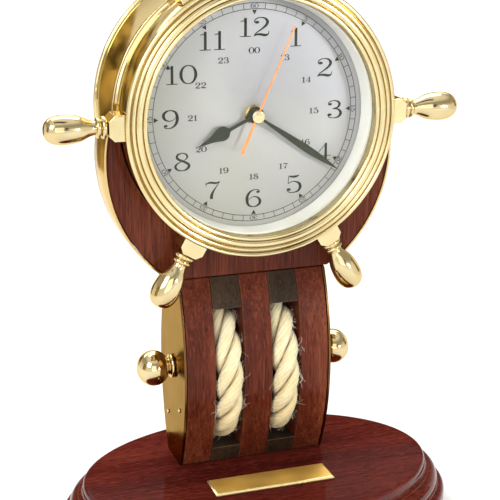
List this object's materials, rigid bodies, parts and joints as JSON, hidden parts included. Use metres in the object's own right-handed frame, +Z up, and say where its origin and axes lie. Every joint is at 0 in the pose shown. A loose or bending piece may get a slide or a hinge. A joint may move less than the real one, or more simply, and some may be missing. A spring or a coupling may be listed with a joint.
{
  "type": "ship's wheel clock",
  "caption": "Brass ship's-wheel clock with a spoked bezel, carried by a wooden cradle on a roped double pulley block and an oval moulded base.",
  "frame": {"origin": "middle of the felt's flat underside, on the surface that the clock stands on", "axes": "+Z up, -Y towards the viewer of the dial, +X to that viewer's right"},
  "size_m": [0.219, 0.1512, 0.3207],
  "materials": {
    "mahogany": "gloss lacquer",
    "ebonised_wood": "satin lacquer",
    "brass": "polished and lacquered",
    "steel": "zinc plated",
    "black_plastic": "fine moulded texture",
    "battery_jacket": "shrink sleeve",
    "dial_silver": "silvered sunburst",
    "hand_grey": "satin",
    "hand_orange": "satin",
    "rope": "natural laid fibre",
    "felt": "felt",
    "glass": "clear"
  },
  "bodies": {
    "stand": {"back_plate": "brass", "back_screw_1": "steel", "back_screw_2": "steel", "base": "mahogany", "base_felt": "felt", "base_screw_1": "steel", "base_screw_2": "steel", "bezel": "brass", "block_bottom_filler_left": "ebonised_wood", "block_bottom_filler_right": "ebonised_wood", "block_cheek_left": "mahogany", "block_cheek_right": "mahogany", "block_partition": "mahogany", "block_top_filler_left": "ebonised_wood", "block_top_filler_right": "ebonised_wood", "clock_drum": "brass", "cradle": "mahogany", "cradle_screw_1": "steel", "cradle_screw_2": "steel", "cradle_strap_left": "brass", "cradle_strap_right": "brass", "dial": "dial_silver", "glass": "glass", "handle_grip_1": "brass", "handle_grip_2": "brass", "handle_grip_3": "brass", "handle_grip_4": "brass", "handle_grip_5": "brass", "handle_grip_6": "brass", "movement": "black_plastic", "movement_nut": "black_plastic", "plaque": "brass", "plate_pin_left_1": "brass", "plate_pin_left_2": "brass", "plate_pin_left_3": "brass", "plate_pin_right_1": "brass", "plate_pin_right_2": "brass", "plate_pin_right_3": "brass", "reflector_ring": "dial_silver", "rope_loop_left": "rope", "rope_loop_right": "rope", "side_plate_left": "brass", "side_plate_right": "brass", "spoke_block_1": "brass", "spoke_block_2": "brass", "spoke_block_3": "brass", "spoke_block_4": "brass", "spoke_block_5": "brass", "spoke_block_6": "brass"},
    "axle": {"axle_rod": "brass", "ball_finial_left": "brass", "ball_finial_right": "brass"},
    "sheave_left": {"sheave_left": "brass"},
    "sheave_right": {"sheave_right": "brass"},
    "minute_hand": {"minute_hand": "hand_grey"},
    "hour_hand": {"hour_hand": "hand_grey"},
    "second_hand": {"second_hand": "hand_orange", "hand_cap": "brass"},
    "setting_knob": {"setting_knob": "black_plastic"},
    "battery": {"battery": "battery_jacket"}
  },
  "joints": [
    {"name": "axle_turn", "type": "hinge", "parent": "stand", "child": "axle", "pos_m": [0, 0.022, 0.0868], "axis": [1, 0, 0], "continuous": true},
    {"name": "sheave_left_turn", "type": "hinge", "parent": "stand", "child": "sheave_left", "pos_m": [-0.01588, 0.022, 0.0868], "axis": [1, 0, 0], "continuous": true},
    {"name": "sheave_right_turn", "type": "hinge", "parent": "stand", "child": "sheave_right", "pos_m": [0.01588, 0.022, 0.0868], "axis": [1, 0, 0], "continuous": true},
    {"name": "minute_hand_turn", "type": "hinge", "parent": "stand", "child": "minute_hand", "pos_m": [0, 0.009, 0.2245], "axis": [0, 1, 0], "continuous": true},
    {"name": "hour_hand_turn", "type": "hinge", "parent": "stand", "child": "hour_hand", "pos_m": [0, 0.009, 0.2245], "axis": [0, 1, 0], "continuous": true},
    {"name": "second_hand_turn", "type": "hinge", "parent": "stand", "child": "second_hand", "pos_m": [0, 0.009, 0.2245], "axis": [0, 1, 0], "continuous": true},
    {"name": "setting_knob_turn", "type": "hinge", "parent": "stand", "child": "setting_knob", "pos_m": [0.014, 0.028, 0.2375], "axis": [0, 1, 0], "continuous": true},
    {"name": "battery_slide", "type": "slide", "parent": "stand", "child": "battery", "axis": [0, 1, 0], "range_m": [0, 0.035]}
  ],
  "couplings": [
    {"joint": "hour_hand_turn", "follows": "minute_hand_turn", "ratio": 0.083333},
    {"joint": "setting_knob_turn", "follows": "minute_hand_turn", "ratio": -1}
  ]
}
